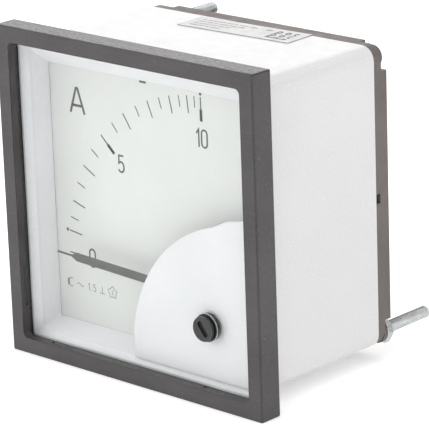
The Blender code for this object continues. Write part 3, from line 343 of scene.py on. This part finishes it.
def metal(name, dark, light, rough, stretch=(1, 1, 1), grain_mm=0.3, depth=0.002, tarnish=None):
    """Metal with drawn or rolled lines, patches of tarnish and uneven polish."""
    s = Shader(name)
    s.main.inputs["Metallic"].default_value = 1.0
    lines = s.stretched(grain_mm, stretch)
    tone = s.mix(s.ramp(lines, 0.0, 1.0, 0.35, 0.65), dark, light)
    if tarnish:
        tone = s.mix(s.ramp(s.noise(2.5, 6.0), 0.0, 0.6, 0.45, 0.8), tone, tarnish)
    s.colour(tone)
    s.roughness(s.ramp(s.noise(0.8, 4.0), rough[0], rough[1]))
    s.bump(lines, depth)
    return s.material


def painted(name, dark, light, rough, orange_mm=0.5):
    """Thin paint with a faint orange peel and dust specks."""
    s = Shader(name)
    tone = s.mix(s.ramp(s.noise(18.0, 2.0), 0.0, 1.0), dark, light)
    dust = s.ramp(s.noise(0.35, 2.0), 0.0, 0.25, 0.68, 0.85)
    s.colour(s.mix(dust, tone, tuple(0.9 * c for c in dark)))
    s.roughness(s.ramp(s.noise(2.0, 4.0), rough[0], rough[1]))
    s.bump(s.noise(orange_mm, 2.0), 0.003)
    return s.material


def window():
    """Thin clear sheet: light goes straight through, apart from its mirror share."""
    s = Shader("clear_window")
    s.tree.nodes.remove(s.main)
    clear = s.tree.nodes.new("ShaderNodeBsdfTransparent")
    clear.inputs["Color"].default_value = (0.985, 0.99, 0.988, 1.0)
    mirror = s.tree.nodes.new("ShaderNodeBsdfGlossy")
    mirror.inputs["Color"].default_value = (1.0, 1.0, 1.0, 1.0)
    smear = s.ramp(s.noise(12.0, 5.0), 0.02, 0.06)
    s.link(smear, mirror.inputs["Roughness"])
    facing = s.add("ShaderNodeLayerWeight", Blend=0.5).outputs["Facing"]
    grazing = s.tree.nodes.new("ShaderNodeMath")
    grazing.operation = "POWER"
    grazing.inputs[1].default_value = 5.0
    s.link(facing, grazing.inputs[0])
    share = s.ramp(grazing.outputs["Value"], 0.02, 1.0, 0.0, 1.0)
    both = s.tree.nodes.new("ShaderNodeMixShader")
    s.link(share, both.inputs["Fac"])
    s.link(clear.outputs["BSDF"], both.inputs[1])
    s.link(mirror.outputs["BSDF"], both.inputs[2])
    s.link(both.outputs["Shader"], s.tree.nodes["Material Output"].inputs["Surface"])
    return s.material


def winding():
    """Enamelled copper wire laid in close turns round the coil, with painted shade in the grooves between
    turns and painted highlight on their crests.
    """
    s = Shader("copper_winding")
    s.main.inputs["Metallic"].default_value = 1.0
    s.main.inputs["Coat Weight"].default_value = 0.6
    turns = s.add("ShaderNodeTexWave", Scale=1 / (0.9 * MM), Distortion=0.6, Detail=1.0)
    turns.bands_direction = "Y"
    s.link(s.place, turns.inputs["Vector"])
    # Painted shade and highlight: darker copper in the grooves between turns, lighter on the crests.
    s.colour(s.mix(turns.outputs["Fac"], (0.28, 0.09, 0.04), (0.72, 0.33, 0.18)))
    s.roughness(s.ramp(s.noise(1.5), 0.25, 0.45))
    s.bump(turns.outputs["Fac"], 0.15)
    return s.material


BLACK = moulded_black()
CUT_EDGE = cut_edge()
# The knob's edge colour is lighter: partly edge wear and partly painted sheen on its edges.
KNOB = plastic("knob_plastic", (0.012,) * 3, (0.018,) * 3, (0.34, 0.46), 0.12, 0.004, edge_wear_and_painted_light=(0.06,) * 3)
SLOT_SHADE = plastic("slot_shade", (0.002, 0.002, 0.002), (0.005, 0.005, 0.005), (0.6, 0.8))
# The rear base's edge colour is darker: painted shade along its edges and in its creases.
DARK = plastic(
    "dark_plastic", (0.094, 0.078, 0.072), (0.125, 0.106, 0.099), (0.5, 0.65), 0.22, 0.01, edge_wear_and_painted_light=(0.035,) * 3
)
WHITE = plastic("white_plastic", (0.575, 0.566, 0.571), (0.605, 0.596, 0.601), (0.34, 0.46), 0.2, 0.003, 22.0)
TRAY = plastic("tray_plastic", (0.77, 0.765, 0.785), (0.80, 0.795, 0.815), (0.3, 0.42), 0.2, 0.003, 18.0)
COVER = plastic(
    "cover_plastic", (0.675, 0.675, 0.688), (0.705, 0.705, 0.718), (0.34, 0.44), 0.18, 0.003, 15.0
)
BOBBIN = plastic("bobbin_plastic", (0.48, 0.36, 0.22), (0.56, 0.43, 0.28), (0.4, 0.55))
SLEEVE = plastic("lead_sleeve", (0.42, 0.03, 0.025), (0.5, 0.05, 0.04), (0.4, 0.55), 0.1, 0.004)
SHEET = painted("dial_paint", (0.66, 0.672, 0.655), (0.685, 0.697, 0.68), (0.42, 0.55))
NEEDLE = painted("pointer_paint", (0.07, 0.067, 0.065), (0.085, 0.082, 0.08), (0.42, 0.55), 0.25)
INK = painted("dial_ink", (0.075, 0.076, 0.08), (0.095, 0.096, 0.1), (0.45, 0.6), 0.2)
FAINT_INK = painted("faint_ink", (0.2, 0.205, 0.2), (0.24, 0.245, 0.24), (0.45, 0.6), 0.2)
LABEL_INK = painted("label_ink", (0.1, 0.1, 0.105), (0.15, 0.15, 0.155), (0.45, 0.6), 0.2)
PALE_INK = painted("pale_label_ink", (0.27, 0.27, 0.27), (0.33, 0.33, 0.33), (0.45, 0.6), 0.2)
FOIL = painted("label_foil", (0.40, 0.395, 0.40), (0.45, 0.445, 0.45), (0.3, 0.42), 0.8)
ZINC = metal(
    "zinc_steel",
    (0.44, 0.46, 0.47),
    (0.62, 0.64, 0.645),
    (0.24, 0.42),
    (1, 0.08, 1),
    tarnish=(0.36, 0.35, 0.33),
)
BRASS = metal(
    "brass", (0.60, 0.42, 0.19), (0.76, 0.57, 0.29), (0.22, 0.38), (1, 0.1, 1), tarnish=(0.38, 0.25, 0.12)
)
BRONZE = metal("spring_bronze", (0.5, 0.32, 0.17), (0.64, 0.43, 0.25), (0.25, 0.4))
ALUMINIUM = metal("aluminium", (0.62, 0.63, 0.65), (0.78, 0.79, 0.8), (0.3, 0.45), (1, 1, 0.06))
IRON = metal(
    "soft_iron", (0.26, 0.26, 0.27), (0.4, 0.4, 0.41), (0.4, 0.6), (1, 0.1, 1), tarnish=(0.2, 0.15, 0.12)
)
COPPER = winding()
CLEAR = window()

FINISHES = {
    "bezel": BLACK,
    "zero_adjuster": KNOB,
    "rear_base": DARK,
    "housing": WHITE,
    "dial_surround": TRAY,
    "movement_cover": COVER,
    "damping_chamber": WHITE,
    "movement_frame": WHITE,
    "window_pane": CLEAR,
    "dial_plate": SHEET,
    "coil_bobbin": BOBBIN,
    "coil_lead_left": SLEEVE,
    "coil_lead_right": SLEEVE,
    "pointer": NEEDLE,
    "pointer_hub": ALUMINIUM,
    "front_bridge": ALUMINIUM,
    "damping_vane": ALUMINIUM,
    "damping_lid": ALUMINIUM,
    "hairspring": BRONZE,
    "coil_winding": COPPER,
    "moving_iron": IRON,
    "fixed_iron": IRON,
    "rating_label": FOIL,
}
BRASS_NODES = ("jewel_screw", "weight", "zero_lever", "terminal_")


def dress_nodes():
    """Gives every CAD node its material. Fasteners that no list names are zinc."""
    for name, node in NODES.items():
        finish = FINISHES.get(name)
        if finish is None:
            finish = BRASS if any(part in name for part in BRASS_NODES) else ZINC
        node.data.materials.clear()
        node.data.materials.append(finish)


def soften(name, width_mm):
    """Rounds a node's edges by a hair, as moulding or machining leaves them."""
    node = NODES[name]
    weld = node.modifiers.new("weld", "WELD")
    weld.merge_threshold = 0.001 * MM
    bevel = node.modifiers.new("bevel", "BEVEL")
    bevel.width = width_mm * MM
    bevel.segments = 2
    bevel.limit_method = "ANGLE"
    bevel.angle_limit = math.radians(40)
    bevel.harden_normals = False


def new_piece(name, form, finish, sharp=None):
    """Makes a piece of a form. With a sharp angle in degrees, faces that meet at less are smooth."""
    data = bpy.data.meshes.new(name)
    form.to_mesh(data)
    form.free()
    if sharp is not None:
        data.shade_smooth()
        data.set_sharp_from_angle(angle=math.radians(sharp))
    piece = bpy.data.objects.new(name, data)
    bpy.context.scene.collection.objects.link(piece)
    data.materials.append(finish)
    return piece


# ---------------------------------------------------------------- flat print


def ribbon(form, path, width, closed=False):
    """Adds a flat line of this width along a path of (x, z) points to the form."""
    points = [Vector(p) for p in path]
    count = len(points)
    sides = []
    for i, point in enumerate(points):
        before = points[i - 1] if closed or i else None
        after = points[(i + 1) % count] if closed or i < count - 1 else None
        into = (point - before).normalized() if before is not None else (after - point).normalized()
        out = (after - point).normalized() if after is not None else into
        along = (into + out).normalized()
        across = Vector((-along.y, along.x))
        reach = width / 2 / max(0.35, across.dot(Vector((-into.y, into.x))))
        sides.append((point + across * reach, point - across * reach))
    verts = [[form.verts.new((p.x, 0, p.y)) for p in pair] for pair in sides]
    spans = count if closed else count - 1
    for i in range(spans):
        a, b = verts[i], verts[(i + 1) % count]
        form.faces.new((a[0], b[0], b[1], a[1]))


def disc(form, centre, radius, sides=20):
    """Adds a round spot about an (x, z) point."""
    turns = [2 * math.pi * i / sides for i in range(sides)]
    ring = [(centre[0] + radius * math.cos(t), centre[1] + radius * math.sin(t)) for t in turns]
    form.faces.new([form.verts.new((x, 0, z)) for x, z in ring])


def ellipse(centre, radii, start, end, steps=14):
    """Points of an arc, with angles in degrees anticlockwise from the right."""
    turns = [math.radians(start + (end - start) * i / steps) for i in range(steps + 1)]
    return [(centre[0] + radii[0] * math.cos(t), centre[1] + radii[1] * math.sin(t)) for t in turns]


def glyph(character):
    """Narrow technical lettering: (paths, width) with a height of 1. A closed path is marked."""
    if character == "0":
        upper = ellipse((0.22, 0.76), (0.2, 0.22), 0, 180)
        lower = ellipse((0.22, 0.24), (0.2, 0.22), 180, 360)
        return [(upper + lower, True)], 0.44
    if character == "1":
        return [([(0.02, 0.74), (0.2, 0.97), (0.2, 0.0)], False)], 0.24
    if character == "2":
        top = ellipse((0.22, 0.74), (0.2, 0.22), 170, -30)
        return [(top + [(0.02, 0.03), (0.44, 0.03)], False)], 0.46
    if character == "5":
        bowl = ellipse((0.2, 0.31), (0.22, 0.29), 125, -150, 20)
        return [([(0.4, 0.96), (0.06, 0.96), (0.05, 0.53)] + bowl, False)], 0.44
    if character == ".":
        return [([(0.05, 0.0), (0.05, 0.13)], False)], 0.1
    if character == "A":
        legs = [(0.0, 0.0), (0.33, 0.97), (0.41, 0.97), (0.74, 0.0)]
        return [(legs, False), ([(0.11, 0.3), (0.63, 0.3)], False)], 0.74
    raise ValueError(character)


def lettering(form, text, centre, height, weight, gap=0.14):
    """Adds text centred on an (x, z) point, with lines of this weight."""
    glyphs = [glyph(character) for character in text]
    total = sum(width for _, width in glyphs) + gap * (len(text) - 1)
    left = centre[0] - total * height / 2
    base = centre[1] - height / 2
    for paths, width in glyphs:
        for path, closed in paths:
            ribbon(form, [(left + x * height, base + z * height) for x, z in path], weight, closed)
        left += (width + gap) * height


def polar(radius, angle):
    """The (x, z) point at this radius from the pivot and this angle, in world millimetres."""
    turn = math.radians(angle)
    return (PIVOT.x / MM - radius * math.cos(turn), PIVOT.z / MM + radius * math.sin(turn))


def face_along(form, direction):
    """Turns a flat form's faces to look along this direction."""
    bmesh.ops.recalc_face_normals(form, faces=form.faces)
    for face in form.faces:
        if face.normal.dot(direction) < 0:
            face.normal_flip()


def thicken(piece):
    """Gives flat print the thickness of a layer of ink."""
    layer = piece.modifiers.new("ink", "SOLIDIFY")
    layer.thickness = INK_THICKNESS
    layer.offset = 1


def printed(name, form, y, finish, body="case"):
    """Turns a flat form in millimetres into a thin layer of ink whose back is at this y."""
    bmesh.ops.scale(form, verts=form.verts, vec=(MM, MM, MM))
    face_along(form, Vector((0, -1, 0)))
    piece = new_piece(name, form, finish)
    piece.location.y = y
    thicken(piece)
    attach(piece, body)


def tick(form, angle, kind):
    """Adds a tick, with a wide inner part if it's a major one."""
    inner, width = TICK_INNER[kind], TICK_WIDTH[kind]
    ribbon(form, [polar(TICK_OUTER, angle), polar(inner, angle)], width)
    if kind == "major":
        start, foot = MAJOR_FOOT
        ribbon(form, [polar(start, angle), polar(inner, angle)], foot)


def dial_scale():
    """Ticks from 2 to 10, a zero tick, range dots, numerals and the unit."""
    form = bmesh.new()
    for value, angle in SCALE_ANGLES.items():
        if value in MAJOR_VALUES:
            tick(form, angle, "major")
        elif value == int(value):
            tick(form, angle, "whole")
        else:
            tick(form, angle, "half")
    tick(form, 0.0, "half")
    for value in DOTTED_VALUES:
        disc(form, polar(DOT_AT, SCALE_ANGLES[value]), DOT_RADIUS)
    for text, x, above, height, weight in NUMERALS:
        lettering(form, text, (x, MIDDLE_Z + above), height, weight)
    left, right, above, weight = TOP_MARK
    ribbon(form, [(left, MIDDLE_Z + above), (right, MIDDLE_Z + above)], weight)
    printed("dial_scale_print", form, DIAL_LOW.y - INK_LIFT, INK)


def dial_symbols():
    """Generic instrument symbols: moving iron, alternating current, class, upright use, test voltage."""
    form = bmesh.new()
    base = MIDDLE_Z + SYMBOLS_AT
    x, radii, weight = COIL_SIGN
    ribbon(form, ellipse((x, base), radii, 60, 300), weight)
    x, weight = IRON_SIGN
    ribbon(form, [(x, base - SYMBOL_HALF), (x, base + SYMBOL_HALF)], weight)
    left, step, height = WAVE_SIGN
    wave = [(left + step * i, base - 0.1 + height * math.sin(2 * math.pi * i / 16)) for i in range(17)]
    ribbon(form, wave, SYMBOL_LINE)
    text, x, height, gap = CLASS_SIGN
    lettering(form, text, (x, base), height, SYMBOL_LINE, gap)
    foot = base - SYMBOL_HALF
    ribbon(form, [(UPRIGHT_SIGN - SYMBOL_HALF, foot), (UPRIGHT_SIGN + SYMBOL_HALF, foot)], SYMBOL_LINE)
    ribbon(form, [(UPRIGHT_SIGN, base - 0.7), (UPRIGHT_SIGN, base + 0.8)], SYMBOL_LINE)
    x, outer, inner = STAR_SIGN
    star = []
    for i in range(10):
        radius = outer if i % 2 == 0 else inner
        turn = math.pi * i / 5
        star.append((x + radius * math.sin(turn), base + 0.1 + radius * math.cos(turn)))
    ribbon(form, star, SYMBOL_LINE, closed=True)
    text, height, weight = STAR_TEXT
    lettering(form, text, (x, base + 0.05), height, weight)
    printed("dial_symbols_print", form, DIAL_LOW.y - INK_LIFT, FAINT_INK)


def label_rows(form):
    """Rows of plain dashes in place of the rating text, each shorter than the last, and a spot."""
    for row, height in enumerate(LABEL_ROWS):
        left = LABEL_LEFT
        for dash in range(7 - row):
            length = 0.9 + 0.5 * ((3 * dash + 2 * row) % 4)
            ribbon(form, [(left, height), (left + length, height)], LABEL_LINE)
            left += length + LABEL_GAP
    left, right, height, weight = LABEL_SPOT
    ribbon(form, [(left, height), (right, height)], weight)


def label_square(form):
    """A square grid of dark cells with a solid border on two sides."""
    low, size, cells = LABEL_SQUARE
    step = size / cells
    for row in range(cells):
        for column in range(cells):
            border = row == 0 or column == 0
            if border or (row * row + 3 * column + row * column) % 5 < 2:
                x, z = low + step * (column + 0.5), -size / 2 + step * (row + 0.5)
                ribbon(form, [(x - step / 2, z), (x + step / 2, z)], step)
    bmesh.ops.remove_doubles(form, verts=form.verts, dist=1e-4)


def rating_label_print(name, draw, finish):
    """Lays one ink of the rating label's print on top of the label."""
    form = bmesh.new()
    draw(form)
    for vert in form.verts:
        vert.co = Vector((vert.co.x * MM, vert.co.z * MM, 0))
    face_along(form, Vector((0, 0, 1)))
    piece = new_piece(name, form, finish)
    centre = middle("rating_label")
    piece.location = (centre.x, centre.y, LABEL_TOP + INK_LIFT)
    piece.rotation_euler.z = LABEL_TURN
    thicken(piece)
    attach(piece, "case")


# ---------------------------------------------------------------- turned pieces


def hoop(form, centre, sides, place):
    """A ring of vertices about a line into the depth, where place gives each turn's radius and y."""
    ring = []
    for i in range(sides):
        turn = 2 * math.pi * i / sides
        radius, y = place(turn)
        x = centre.x + radius * math.sin(turn)
        z = centre.z + radius * math.cos(turn)
        ring.append(form.verts.new((x, y, z)))
    return ring


def skin(form, rings, closed=False):
    """Faces from each ring to the next, and across both ends unless the last ring joins the first."""
    following = rings[1:] + rings[:1] if closed else rings[1:]
    sides = len(rings[0])
    for a, b in zip(rings, following):
        for i in range(sides):
            j = (i + 1) % sides
            form.faces.new((a[i], a[j], b[j], b[i]))
    if not closed:
        form.faces.new(rings[0][::-1])
        form.faces.new(rings[-1])
    bmesh.ops.recalc_face_normals(form, faces=form.faces)


def pane_hole_edge():
    """Bright ring where the window is cut away round the adjuster's collar."""
    low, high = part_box("zero_adjuster")
    centre = middle("zero_adjuster")
    pane_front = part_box("window_pane")[0].y
    inner = (high.x - low.x) / 2 + RIM_GAP
    outer = inner + RIM_WIDTH
    front, back = pane_front - RIM_PROUD, pane_front + RIM_DEPTH
    form = bmesh.new()
    profile = ((inner, front), (outer, front), (outer, back), (inner, back))
    skin(form, [hoop(form, centre, RIM_SIDES, lambda turn: corner) for corner in profile], closed=True)
    piece = new_piece("pane_hole_edge", form, CUT_EDGE, 35)
    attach(piece, "case")


def adjuster_slot_painted_shade():
    """Painted shade: a near-black layer on the bottom of the adjuster's screwdriver slot, where the slot is
    in shadow.
    """
    low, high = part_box("zero_adjuster")
    centre = (low + high) / (2 * MM)
    across = SLOT_REACH * math.cos(SLOT_ANGLE)
    down = SLOT_REACH * math.sin(SLOT_ANGLE)
    path = [(centre.x - across, centre.z - down), (centre.x + across, centre.z + down)]
    form = bmesh.new()
    ribbon(form, path, SLOT_WIDTH)
    y = low.y + SLOT_DEPTH * MM - INK_LIFT
    printed("adjuster_slot_painted_shade", form, y, SLOT_SHADE, "adjuster")


def threaded_rod(name, node, pitch, body, finish):
    """A rod with a helical thread in place of a plain CAD stud."""
    low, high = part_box(node)
    radius = (high.x - low.x) / 2
    length = high.y - low.y

    def surface(turn, along):
        tip = min(1.0, (high.y - along) / TIP_LENGTH + TIP_SHARE)
        phase = (along / pitch - turn / (2 * math.pi)) % 1.0
        cut = THREAD_DEPTH * pitch * abs(2 * phase - 1) ** THREAD_SHAPE
        return min(radius - cut, radius * tip), along

    form = bmesh.new()
    count = int(length / pitch * THREAD_STEPS)
    rings = []
    for i in range(count + 1):
        along = low.y + length * i / count
        rings.append(hoop(form, middle(node), THREAD_SIDES, lambda turn: surface(turn, along)))
    skin(form, rings)
    piece = new_piece(name, form, finish, 50)
    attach(piece, body)
    return piece


def chamfered_nut(name, node, bore, body, finish):
    """A hexagon nut with its corners turned down at 30 degrees and a countersunk bore."""
    low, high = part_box(node)
    flat = (high.z - low.z) / 2
    face = NUT_FACE * flat

    def corner(turn, y, slope):
        radius = flat / math.cos((turn + math.pi / 6) % (math.pi / 3) - math.pi / 6)
        return radius, y + (radius - face) * slope

    outline = (
        lambda turn: (bore, low.y + NUT_SINK),
        lambda turn: (bore + NUT_SINK, low.y),
        lambda turn: (face, low.y),
        lambda turn: corner(turn, low.y, NUT_SLOPE),
        lambda turn: corner(turn, high.y, -NUT_SLOPE),
        lambda turn: (face, high.y),
        lambda turn: (bore + NUT_SINK, high.y),
        lambda turn: (bore, high.y - NUT_SINK),
    )
    form = bmesh.new()
    skin(form, [hoop(form, middle(node), NUT_SIDES, place) for place in outline], closed=True)
    piece = new_piece(name, form, finish, 20)
    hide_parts(node)
    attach(piece, body)


def rear_hardware():
    """Threads on the mounting studs, and chamfered nuts on them and on the terminals."""
    for side in ("lower", "upper"):
        node = f"mounting_stud_{side}"
        rod = threaded_rod(f"stud_thread_{side}", node, STUD_PITCH, "case", ZINC)
        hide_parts(node)
        body = f"stud_nut_{side}"
        chamfered_nut(body, f"mounting_nut_{side}", STUD_BORE, body, ZINC)
    for side in ("left", "right"):
        node, body = f"terminal_nut_{side}", f"nut_{side}"
        chamfered_nut(f"lug_nut_{side}", node, TERMINAL_BORE, body, BRASS)


# ---------------------------------------------------------------- studio


def studio():
    """Pale floor, a broad light overhead, fills in front, at the right and behind, and a bright room."""
    form = bmesh.new()
    bmesh.ops.create_grid(form, x_segments=1, y_segments=1, size=FLOOR_HALF)
    paper = Shader("floor_paper")
    paper.colour(paper.mix(paper.ramp(paper.noise(120.0), 0.0, 1.0), (0.9, 0.9, 0.9), (0.93, 0.93, 0.93)))
    paper.roughness(paper.ramp(paper.noise(40.0), 0.85, 0.95))
    paper.main.inputs["Emission Color"].default_value = (1.0, 1.0, 1.0, 1.0)
    paper.main.inputs["Emission Strength"].default_value = FLOOR_GLOW
    floor = new_piece("floor", form, paper.material)

    for name, place, target, size, power in LAMPS:
        lamp = bpy.data.lights.new(name, "AREA")
        lamp.size = size
        lamp.energy = power
        holder = bpy.data.objects.new(name, lamp)
        holder.location = place
        holder.rotation_euler = (Vector(target) - Vector(place)).to_track_quat("-Z", "Y").to_euler()
        bpy.context.scene.collection.objects.link(holder)

    world = bpy.data.worlds.new("room")
    world.use_nodes = True
    background = world.node_tree.nodes["Background"]
    background.inputs["Color"].default_value = (1.0, 1.0, 1.0, 1.0)
    background.inputs["Strength"].default_value = ROOM_STRENGTH
    bpy.context.scene.world = world
    bpy.context.scene.view_settings.view_transform = "Standard"


def camera():
    """Long lens, up and to the right of the front."""
    data = bpy.data.cameras.new("camera")
    data.lens = CAMERA_LENS
    data.clip_end = CAMERA_FAR
    holder = bpy.data.objects.new("camera", data)
    right, up = Vector(CAMERA_RIGHT), Vector(CAMERA_UP)
    back = right.cross(up).normalized()
    up = back.cross(right).normalized()
    right.normalize()
    x, y, z = CAMERA_AT
    turn = Matrix((right, up, back)).transposed()
    holder.matrix_world = Matrix.Translation((x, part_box("bezel")[0].y + y, z)) @ turn.to_4x4()
    bpy.context.scene.collection.objects.link(holder)
    bpy.context.scene.camera = holder


dress_nodes()
for node_name, width_mm in SOFTENED.items():
    soften(node_name, width_mm)
dial_scale()
dial_symbols()
rating_label_print("label_rows", label_rows, PALE_INK)
rating_label_print("label_square", label_square, LABEL_INK)
pane_hole_edge()
adjuster_slot_painted_shade()
rear_hardware()
studio()
camera()
